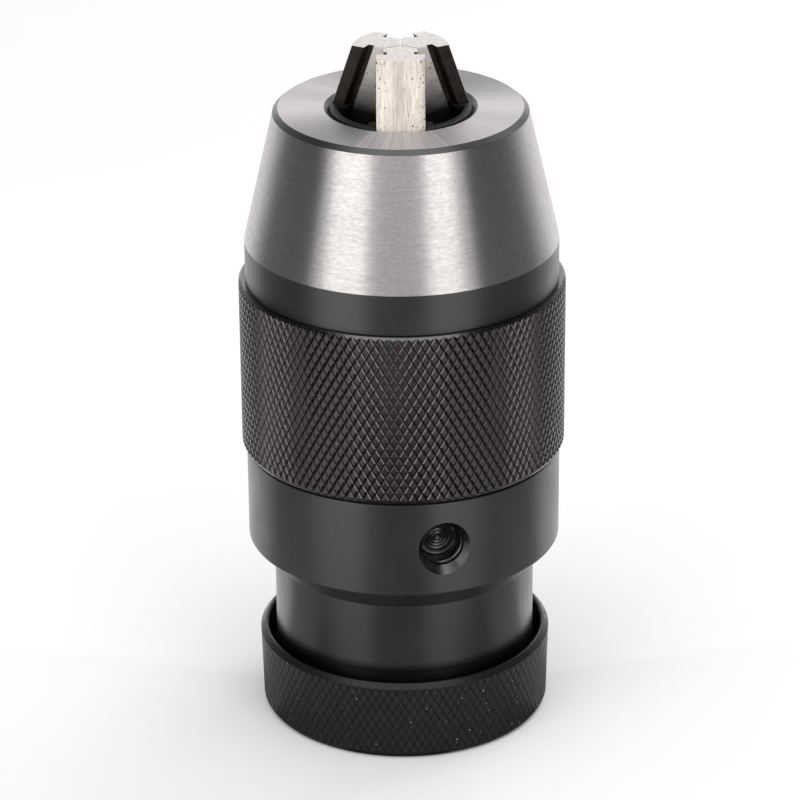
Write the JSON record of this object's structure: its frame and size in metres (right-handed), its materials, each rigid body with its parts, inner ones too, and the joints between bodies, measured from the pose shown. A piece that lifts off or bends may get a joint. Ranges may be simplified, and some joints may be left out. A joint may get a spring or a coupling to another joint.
{
  "type": "drill chuck",
  "caption": "Keyless self-tightening drill chuck with a taper socket, knurled grip sleeve, knurled rear ring, ground conical hood and three inclined jaws driven by an enclosed screw.",
  "frame": {"origin": "centre of the rear face, on the axis of rotation, which is the bottom centre of the chuck as it stands", "axes": "+Z along the axis of rotation towards the jaws; -Y is the side of jaw_1"},
  "size_m": [0.05, 0.05, 0.1088],
  "materials": {
    "body_steel": "satin, turned and lightly oiled",
    "ring_black": "black oxide, knurled, matte",
    "shell_black": "black oxide, satin",
    "hood_ground": "circumferentially ground cone and face, black oxide band and front chamfer",
    "sleeve_knurl": "purple-brown oxide, diamond knurled",
    "guide_black": "dark oxide, satin",
    "jaw_steel": "ground, dark on the rough flanks",
    "spindle_steel": "satin",
    "spring_steel": "oil-tempered",
    "bearing_steel": "polished",
    "cage_brass": "satin",
    "bush_bronze": "satin",
    "felt": "felt",
    "pin_steel": "ground",
    "washer_steel": "ground"
  },
  "bodies": {
    "core": {"chuck_body": "body_steel", "rear_grip_ring": "ring_black", "ring_drive_pins": "pin_steel", "hub_snap_ring": "spring_steel", "front_race": "bearing_steel", "wave_washer": "spring_steel"},
    "shell": {"rear_shell": "shell_black", "rear_bush": "bush_bronze", "dust_ring": "felt", "rear_race": "bearing_steel", "hood": "hood_ground", "grip_sleeve": "sleeve_knurl", "sleeve_key_pins": "pin_steel", "jaw_guide": "guide_black", "guide_pins": "pin_steel", "front_washer": "washer_steel"},
    "ball_set": {"thrust_balls": "bearing_steel", "ball_cage": "cage_brass"},
    "feed_screw": {"spindle": "spindle_steel", "spindle_stop_ring": "spring_steel"},
    "jaw_1": {"jaw_1": "jaw_steel"},
    "jaw_2": {"jaw_2": "jaw_steel"},
    "jaw_3": {"jaw_3": "jaw_steel"}
  },
  "joints": [
    {"name": "hood_spin", "type": "hinge", "parent": "core", "child": "shell", "pos_m": [0, 0, 0.03], "axis": [0, 0, 1], "range_deg": [0, 2140]},
    {"name": "ball_orbit", "type": "hinge", "parent": "core", "child": "ball_set", "pos_m": [0, 0, 0.0436], "axis": [0, 0, 1], "range_deg": [0, 1071]},
    {"name": "screw_feed", "type": "slide", "parent": "shell", "child": "feed_screw", "axis": [0, 0, -1], "range_m": [0, 0.01784]},
    {"name": "jaw_1_slide", "type": "slide", "parent": "shell", "child": "jaw_1", "axis": [0, -0.342, -0.9397], "range_m": [0, 0.01898]},
    {"name": "jaw_2_slide", "type": "slide", "parent": "shell", "child": "jaw_2", "axis": [0.2962, 0.171, -0.9397], "range_m": [0, 0.01898]},
    {"name": "jaw_3_slide", "type": "slide", "parent": "shell", "child": "jaw_3", "axis": [-0.2962, 0.171, -0.9397], "range_m": [0, 0.01898]}
  ],
  "couplings": [
    {"joint": "ball_orbit", "follows": "hood_spin", "ratio": 0.5},
    {"joint": "screw_feed", "follows": "hood_spin", "m_per_rad": 0.00047746},
    {"joint": "jaw_1_slide", "follows": "hood_spin", "m_per_rad": 0.00050811},
    {"joint": "jaw_2_slide", "follows": "hood_spin", "m_per_rad": 0.00050811},
    {"joint": "jaw_3_slide", "follows": "hood_spin", "m_per_rad": 0.00050811}
  ]
}
